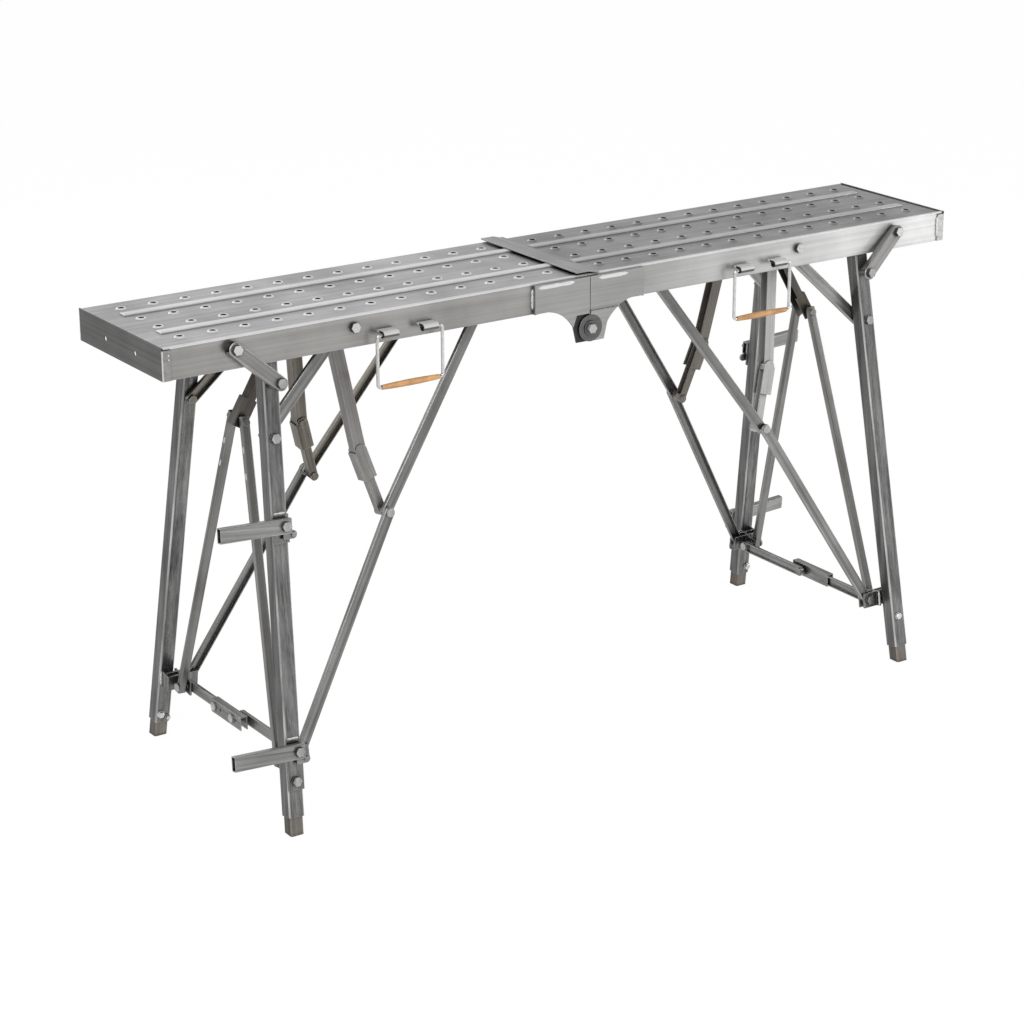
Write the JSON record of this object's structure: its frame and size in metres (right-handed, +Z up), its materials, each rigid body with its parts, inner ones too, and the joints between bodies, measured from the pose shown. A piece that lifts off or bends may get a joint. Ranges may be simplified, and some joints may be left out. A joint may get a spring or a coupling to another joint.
{
  "type": "folding scaffold platform",
  "caption": "Folding steel work platform: perforated deck hinged in the middle, splayed legs with folding braces, struts, crossbars, carry handles and side steps.",
  "frame": {"origin": "floor point under the middle of the deck", "axes": "+X along the deck to the right, +Y to the rear, +Z up"},
  "size_m": [1.4, 0.4558, 0.7213],
  "materials": {
    "deck_steel": "brushed sheet steel",
    "leg_steel": "brushed tube steel",
    "bar_steel": "darker pressed steel",
    "zinc_steel": "bright zinc plate",
    "grip": "moulded orange plastic"
  },
  "bodies": {
    "deck_left": {"left_deck_plank": "deck_steel", "left_end_cap": "deck_steel", "left_hinge_gussets": "deck_steel", "left_pivot_bolts": "zinc_steel"},
    "deck_right": {"right_deck_plank": "deck_steel", "right_end_cap": "deck_steel", "right_hinge_gussets": "deck_steel", "right_pivot_bolts": "zinc_steel", "seam_cover": "deck_steel", "hinge_bolts": "zinc_steel"},
    "front_left_link": {"front_left_link": "bar_steel"},
    "front_left_leg": {"front_left_leg": "leg_steel"},
    "front_left_brace": {"front_left_brace": "bar_steel"},
    "front_left_strut_upper": {"front_left_strut_upper": "bar_steel"},
    "front_left_strut_lower": {"front_left_strut_lower": "bar_steel"},
    "front_left_diagonal_upper": {"front_left_diagonal_upper": "bar_steel"},
    "front_left_diagonal_lower": {"front_left_diagonal_lower": "bar_steel"},
    "front_left_middle_bar": {"front_left_middle_bar": "bar_steel"},
    "front_left_crossbar": {"front_left_crossbar": "bar_steel"},
    "front_left_foot": {"front_left_foot": "leg_steel"},
    "front_left_step_upper": {"front_left_step_upper": "leg_steel"},
    "front_left_step_lower": {"front_left_step_lower": "leg_steel"},
    "rear_left_link": {"rear_left_link": "bar_steel"},
    "rear_left_leg": {"rear_left_leg": "leg_steel"},
    "rear_left_brace": {"rear_left_brace": "bar_steel"},
    "rear_left_strut_upper": {"rear_left_strut_upper": "bar_steel"},
    "rear_left_strut_lower": {"rear_left_strut_lower": "bar_steel"},
    "rear_left_diagonal_upper": {"rear_left_diagonal_upper": "bar_steel"},
    "rear_left_diagonal_lower": {"rear_left_diagonal_lower": "bar_steel"},
    "rear_left_middle_bar": {"rear_left_middle_bar": "bar_steel"},
    "rear_left_crossbar": {"rear_left_crossbar": "bar_steel"},
    "rear_left_foot": {"rear_left_foot": "leg_steel"},
    "front_right_link": {"front_right_link": "bar_steel"},
    "front_right_leg": {"front_right_leg": "leg_steel"},
    "front_right_brace": {"front_right_brace": "bar_steel"},
    "front_right_strut_upper": {"front_right_strut_upper": "bar_steel"},
    "front_right_strut_lower": {"front_right_strut_lower": "bar_steel"},
    "front_right_diagonal_upper": {"front_right_diagonal_upper": "bar_steel"},
    "front_right_diagonal_lower": {"front_right_diagonal_lower": "bar_steel"},
    "front_right_middle_bar": {"front_right_middle_bar": "bar_steel"},
    "front_right_crossbar": {"front_right_crossbar": "bar_steel"},
    "front_right_foot": {"front_right_foot": "leg_steel"},
    "rear_right_link": {"rear_right_link": "bar_steel"},
    "rear_right_leg": {"rear_right_leg": "leg_steel"},
    "rear_right_brace": {"rear_right_brace": "bar_steel"},
    "rear_right_strut_upper": {"rear_right_strut_upper": "bar_steel"},
    "rear_right_strut_lower": {"rear_right_strut_lower": "bar_steel"},
    "rear_right_diagonal_upper": {"rear_right_diagonal_upper": "bar_steel"},
    "rear_right_diagonal_lower": {"rear_right_diagonal_lower": "bar_steel"},
    "rear_right_middle_bar": {"rear_right_middle_bar": "bar_steel"},
    "rear_right_crossbar": {"rear_right_crossbar": "bar_steel"},
    "rear_right_foot": {"rear_right_foot": "leg_steel"},
    "rear_right_step_upper": {"rear_right_step_upper": "leg_steel"},
    "rear_right_step_lower": {"rear_right_step_lower": "leg_steel"},
    "left_apex_link": {"left_apex_link": "bar_steel"},
    "left_handle": {"left_handle_bail": "zinc_steel", "left_handle_grip": "grip"},
    "right_apex_link": {"right_apex_link": "bar_steel"},
    "right_handle": {"right_handle_bail": "zinc_steel", "right_handle_grip": "grip"}
  },
  "joints": [
    {"name": "deck_fold", "type": "hinge", "parent": "deck_left", "child": "deck_right", "pos_m": [0, 0, 0.635], "axis": [0, 1, 0], "range_deg": [0, 75]},
    {"name": "left_fold", "type": "hinge", "parent": "front_left_link", "child": "front_left_leg", "pos_m": [-0.531, -0.11327, 0.63864], "axis": [0, -0.9885, 0.1513], "range_deg": [0, 201.62]},
    {"name": "front_left_link_turn", "type": "hinge", "parent": "deck_left", "child": "front_left_link", "pos_m": [-0.593, -0.1048, 0.694], "axis": [0, 0.9885, -0.1513], "range_deg": [0, 108.59]},
    {"name": "front_left_brace_turn", "type": "hinge", "parent": "deck_left", "child": "front_left_brace", "pos_m": [-0.4, -0.1048, 0.694], "axis": [0, 0.9885, -0.1513], "range_deg": [0, 30.77]},
    {"name": "front_left_strut_upper_turn", "type": "hinge", "parent": "deck_left", "child": "front_left_strut_upper", "pos_m": [-0.4, -0.1048, 0.694], "axis": [0, 0.9885, -0.1513], "range_deg": [0, 94.12]},
    {"name": "front_left_strut_lower_turn", "type": "hinge", "parent": "front_left_strut_upper", "child": "front_left_strut_lower", "pos_m": [-0.37474, -0.13306, 0.50935], "axis": [0, -0.9885, 0.1513], "range_deg": [0, 157.82]},
    {"name": "front_left_diagonal_upper_turn", "type": "hinge", "parent": "deck_left", "child": "front_left_diagonal_upper", "pos_m": [-0.1486, -0.1048, 0.694], "axis": [0, 0.9885, -0.1513], "range_deg": [0, 50]},
    {"name": "front_left_diagonal_lower_turn", "type": "hinge", "parent": "front_left_leg", "child": "front_left_diagonal_lower", "pos_m": [-0.532, -0.19512, 0.10379], "axis": [0, -0.9885, 0.1513], "range_deg": [0, 29.71]},
    {"name": "front_left_middle_bar_turn", "type": "hinge", "parent": "front_left_leg", "child": "front_left_middle_bar", "pos_m": [-0.5563, -0.14767, 0.09653], "axis": [1, 0, 0], "range_deg": [0, 1.86]},
    {"name": "front_left_crossbar_turn", "type": "hinge", "parent": "front_left_leg", "child": "front_left_crossbar", "pos_m": [-0.5563, -0.14767, 0.09653], "axis": [1, 0, 0], "range_deg": [0, 55.25]},
    {"name": "front_left_foot_slide", "type": "slide", "parent": "front_left_leg", "child": "front_left_foot", "axis": [-0.0529, -0.151, -0.9871], "range_m": [0, 0.015]},
    {"name": "front_left_step_upper_turn", "type": "hinge", "parent": "front_left_leg", "child": "front_left_step_upper", "pos_m": [-0.54533, -0.14337, 0.44193], "axis": [0, 0.9885, -0.1513], "range_deg": [0, 90]},
    {"name": "front_left_step_lower_turn", "type": "hinge", "parent": "front_left_leg", "child": "front_left_step_lower", "pos_m": [-0.56238, -0.19208, 0.12364], "axis": [0, 0.9885, -0.1513], "range_deg": [0, 90]},
    {"name": "rear_left_leg_turn", "type": "hinge", "parent": "rear_left_link", "child": "rear_left_leg", "pos_m": [-0.531, 0.11327, 0.63864], "axis": [0, -0.9885, -0.1513], "range_deg": [0, 201.62]},
    {"name": "rear_left_link_turn", "type": "hinge", "parent": "deck_left", "child": "rear_left_link", "pos_m": [-0.593, 0.1048, 0.694], "axis": [0, 0.9885, 0.1513], "range_deg": [0, 108.59]},
    {"name": "rear_left_brace_turn", "type": "hinge", "parent": "deck_left", "child": "rear_left_brace", "pos_m": [-0.4, 0.1048, 0.694], "axis": [0, 0.9885, 0.1513], "range_deg": [0, 30.77]},
    {"name": "rear_left_strut_upper_turn", "type": "hinge", "parent": "deck_left", "child": "rear_left_strut_upper", "pos_m": [-0.4, 0.1048, 0.694], "axis": [0, 0.9885, 0.1513], "range_deg": [0, 94.12]},
    {"name": "rear_left_strut_lower_turn", "type": "hinge", "parent": "rear_left_strut_upper", "child": "rear_left_strut_lower", "pos_m": [-0.37474, 0.13306, 0.50935], "axis": [0, -0.9885, -0.1513], "range_deg": [0, 157.82]},
    {"name": "rear_left_diagonal_upper_turn", "type": "hinge", "parent": "deck_left", "child": "rear_left_diagonal_upper", "pos_m": [-0.1486, 0.1048, 0.694], "axis": [0, 0.9885, 0.1513], "range_deg": [0, 50]},
    {"name": "rear_left_diagonal_lower_turn", "type": "hinge", "parent": "rear_left_leg", "child": "rear_left_diagonal_lower", "pos_m": [-0.532, 0.19512, 0.10379], "axis": [0, -0.9885, -0.1513], "range_deg": [0, 29.71]},
    {"name": "rear_left_middle_bar_turn", "type": "hinge", "parent": "rear_left_leg", "child": "rear_left_middle_bar", "pos_m": [-0.5563, 0.14767, 0.09653], "axis": [-1, 0, 0], "range_deg": [0, 1.86]},
    {"name": "rear_left_crossbar_turn", "type": "hinge", "parent": "rear_left_leg", "child": "rear_left_crossbar", "pos_m": [-0.5563, 0.14767, 0.09653], "axis": [-1, 0, 0], "range_deg": [0, 55.25]},
    {"name": "rear_left_foot_slide", "type": "slide", "parent": "rear_left_leg", "child": "rear_left_foot", "axis": [-0.0529, 0.151, -0.9871], "range_m": [0, 0.015]},
    {"name": "right_fold", "type": "hinge", "parent": "front_right_link", "child": "front_right_leg", "pos_m": [0.531, -0.11327, 0.63864], "axis": [0, 0.9885, -0.1513], "range_deg": [0, 201.62]},
    {"name": "front_right_link_turn", "type": "hinge", "parent": "deck_right", "child": "front_right_link", "pos_m": [0.593, -0.1048, 0.694], "axis": [0, -0.9885, 0.1513], "range_deg": [0, 108.59]},
    {"name": "front_right_brace_turn", "type": "hinge", "parent": "deck_right", "child": "front_right_brace", "pos_m": [0.4, -0.1048, 0.694], "axis": [0, -0.9885, 0.1513], "range_deg": [0, 30.77]},
    {"name": "front_right_strut_upper_turn", "type": "hinge", "parent": "deck_right", "child": "front_right_strut_upper", "pos_m": [0.4, -0.1048, 0.694], "axis": [0, -0.9885, 0.1513], "range_deg": [0, 94.12]},
    {"name": "front_right_strut_lower_turn", "type": "hinge", "parent": "front_right_strut_upper", "child": "front_right_strut_lower", "pos_m": [0.37474, -0.13306, 0.50935], "axis": [0, 0.9885, -0.1513], "range_deg": [0, 157.82]},
    {"name": "front_right_diagonal_upper_turn", "type": "hinge", "parent": "deck_right", "child": "front_right_diagonal_upper", "pos_m": [0.1486, -0.1048, 0.694], "axis": [0, -0.9885, 0.1513], "range_deg": [0, 50]},
    {"name": "front_right_diagonal_lower_turn", "type": "hinge", "parent": "front_right_leg", "child": "front_right_diagonal_lower", "pos_m": [0.532, -0.19512, 0.10379], "axis": [0, 0.9885, -0.1513], "range_deg": [0, 29.71]},
    {"name": "front_right_middle_bar_turn", "type": "hinge", "parent": "front_right_leg", "child": "front_right_middle_bar", "pos_m": [0.5563, -0.14767, 0.09653], "axis": [1, 0, 0], "range_deg": [0, 1.86]},
    {"name": "front_right_crossbar_turn", "type": "hinge", "parent": "front_right_leg", "child": "front_right_crossbar", "pos_m": [0.5563, -0.14767, 0.09653], "axis": [1, 0, 0], "range_deg": [0, 55.25]},
    {"name": "front_right_foot_slide", "type": "slide", "parent": "front_right_leg", "child": "front_right_foot", "axis": [0.0529, -0.151, -0.9871], "range_m": [0, 0.015]},
    {"name": "rear_right_leg_turn", "type": "hinge", "parent": "rear_right_link", "child": "rear_right_leg", "pos_m": [0.531, 0.11327, 0.63864], "axis": [0, 0.9885, 0.1513], "range_deg": [0, 201.62]},
    {"name": "rear_right_link_turn", "type": "hinge", "parent": "deck_right", "child": "rear_right_link", "pos_m": [0.593, 0.1048, 0.694], "axis": [0, -0.9885, -0.1513], "range_deg": [0, 108.59]},
    {"name": "rear_right_brace_turn", "type": "hinge", "parent": "deck_right", "child": "rear_right_brace", "pos_m": [0.4, 0.1048, 0.694], "axis": [0, -0.9885, -0.1513], "range_deg": [0, 30.77]},
    {"name": "rear_right_strut_upper_turn", "type": "hinge", "parent": "deck_right", "child": "rear_right_strut_upper", "pos_m": [0.4, 0.1048, 0.694], "axis": [0, -0.9885, -0.1513], "range_deg": [0, 94.12]},
    {"name": "rear_right_strut_lower_turn", "type": "hinge", "parent": "rear_right_strut_upper", "child": "rear_right_strut_lower", "pos_m": [0.37474, 0.13306, 0.50935], "axis": [0, 0.9885, 0.1513], "range_deg": [0, 157.82]},
    {"name": "rear_right_diagonal_upper_turn", "type": "hinge", "parent": "deck_right", "child": "rear_right_diagonal_upper", "pos_m": [0.1486, 0.1048, 0.694], "axis": [0, -0.9885, -0.1513], "range_deg": [0, 50]},
    {"name": "rear_right_diagonal_lower_turn", "type": "hinge", "parent": "rear_right_leg", "child": "rear_right_diagonal_lower", "pos_m": [0.532, 0.19512, 0.10379], "axis": [0, 0.9885, 0.1513], "range_deg": [0, 29.71]},
    {"name": "rear_right_middle_bar_turn", "type": "hinge", "parent": "rear_right_leg", "child": "rear_right_middle_bar", "pos_m": [0.5563, 0.14767, 0.09653], "axis": [-1, 0, 0], "range_deg": [0, 1.86]},
    {"name": "rear_right_crossbar_turn", "type": "hinge", "parent": "rear_right_leg", "child": "rear_right_crossbar", "pos_m": [0.5563, 0.14767, 0.09653], "axis": [-1, 0, 0], "range_deg": [0, 55.25]},
    {"name": "rear_right_foot_slide", "type": "slide", "parent": "rear_right_leg", "child": "rear_right_foot", "axis": [0.0529, 0.151, -0.9871], "range_m": [0, 0.015]},
    {"name": "rear_right_step_upper_turn", "type": "hinge", "parent": "rear_right_leg", "child": "rear_right_step_upper", "pos_m": [0.54533, 0.14337, 0.44193], "axis": [0, -0.9885, -0.1513], "range_deg": [0, 90]},
    {"name": "rear_right_step_lower_turn", "type": "hinge", "parent": "rear_right_leg", "child": "rear_right_step_lower", "pos_m": [0.56238, 0.19208, 0.12364], "axis": [0, -0.9885, -0.1513], "range_deg": [0, 90]},
    {"name": "left_apex_turn", "type": "hinge", "parent": "deck_left", "child": "left_apex_link", "pos_m": [-0.4373, 0, 0.694], "axis": [0, 1, 0], "range_deg": [0, 45.13]},
    {"name": "left_handle_swing", "type": "hinge", "parent": "deck_left", "child": "left_handle", "pos_m": [-0.318, -0.1395, 0.684], "axis": [-1, 0, 0], "range_deg": [0, 120]},
    {"name": "right_apex_turn", "type": "hinge", "parent": "deck_right", "child": "right_apex_link", "pos_m": [0.4373, 0, 0.694], "axis": [0, -1, 0], "range_deg": [0, 45.13]},
    {"name": "right_handle_swing", "type": "hinge", "parent": "deck_right", "child": "right_handle", "pos_m": [0.318, -0.1395, 0.684], "axis": [-1, 0, 0], "range_deg": [0, 120]}
  ],
  "couplings": [
    {"joint": "front_left_link_turn", "follows": "left_fold", "ratio": 0.53859},
    {"joint": "front_left_brace_turn", "follows": "left_fold", "ratio": 0.15262},
    {"joint": "front_left_strut_upper_turn", "follows": "left_fold", "ratio": 0.46679},
    {"joint": "front_left_strut_lower_turn", "follows": "left_fold", "ratio": 0.78277},
    {"joint": "front_left_diagonal_upper_turn", "follows": "left_fold", "ratio": 0.24799},
    {"joint": "front_left_diagonal_lower_turn", "follows": "left_fold", "ratio": 0.14735},
    {"joint": "front_left_middle_bar_turn", "follows": "left_fold", "ratio": 0.009237},
    {"joint": "front_left_crossbar_turn", "follows": "left_fold", "ratio": 0.27404},
    {"joint": "rear_left_leg_turn", "follows": "left_fold", "ratio": 1},
    {"joint": "rear_left_link_turn", "follows": "left_fold", "ratio": 0.53859},
    {"joint": "rear_left_brace_turn", "follows": "left_fold", "ratio": 0.15262},
    {"joint": "rear_left_strut_upper_turn", "follows": "left_fold", "ratio": 0.46679},
    {"joint": "rear_left_strut_lower_turn", "follows": "left_fold", "ratio": 0.78277},
    {"joint": "rear_left_diagonal_upper_turn", "follows": "left_fold", "ratio": 0.24799},
    {"joint": "rear_left_diagonal_lower_turn", "follows": "left_fold", "ratio": 0.14735},
    {"joint": "rear_left_middle_bar_turn", "follows": "left_fold", "ratio": 0.009237},
    {"joint": "rear_left_crossbar_turn", "follows": "left_fold", "ratio": 0.27404},
    {"joint": "front_right_link_turn", "follows": "right_fold", "ratio": 0.53859},
    {"joint": "front_right_brace_turn", "follows": "right_fold", "ratio": 0.15262},
    {"joint": "front_right_strut_upper_turn", "follows": "right_fold", "ratio": 0.46679},
    {"joint": "front_right_strut_lower_turn", "follows": "right_fold", "ratio": 0.78277},
    {"joint": "front_right_diagonal_upper_turn", "follows": "right_fold", "ratio": 0.24799},
    {"joint": "front_right_diagonal_lower_turn", "follows": "right_fold", "ratio": 0.14735},
    {"joint": "front_right_middle_bar_turn", "follows": "right_fold", "ratio": 0.009237},
    {"joint": "front_right_crossbar_turn", "follows": "right_fold", "ratio": 0.27404},
    {"joint": "rear_right_leg_turn", "follows": "right_fold", "ratio": 1},
    {"joint": "rear_right_link_turn", "follows": "right_fold", "ratio": 0.53859},
    {"joint": "rear_right_brace_turn", "follows": "right_fold", "ratio": 0.15262},
    {"joint": "rear_right_strut_upper_turn", "follows": "right_fold", "ratio": 0.46679},
    {"joint": "rear_right_strut_lower_turn", "follows": "right_fold", "ratio": 0.78277},
    {"joint": "rear_right_diagonal_upper_turn", "follows": "right_fold", "ratio": 0.24799},
    {"joint": "rear_right_diagonal_lower_turn", "follows": "right_fold", "ratio": 0.14735},
    {"joint": "rear_right_middle_bar_turn", "follows": "right_fold", "ratio": 0.009237},
    {"joint": "rear_right_crossbar_turn", "follows": "right_fold", "ratio": 0.27404},
    {"joint": "left_apex_turn", "follows": "left_fold", "ratio": 0.22383},
    {"joint": "right_apex_turn", "follows": "right_fold", "ratio": 0.22383}
  ]
}
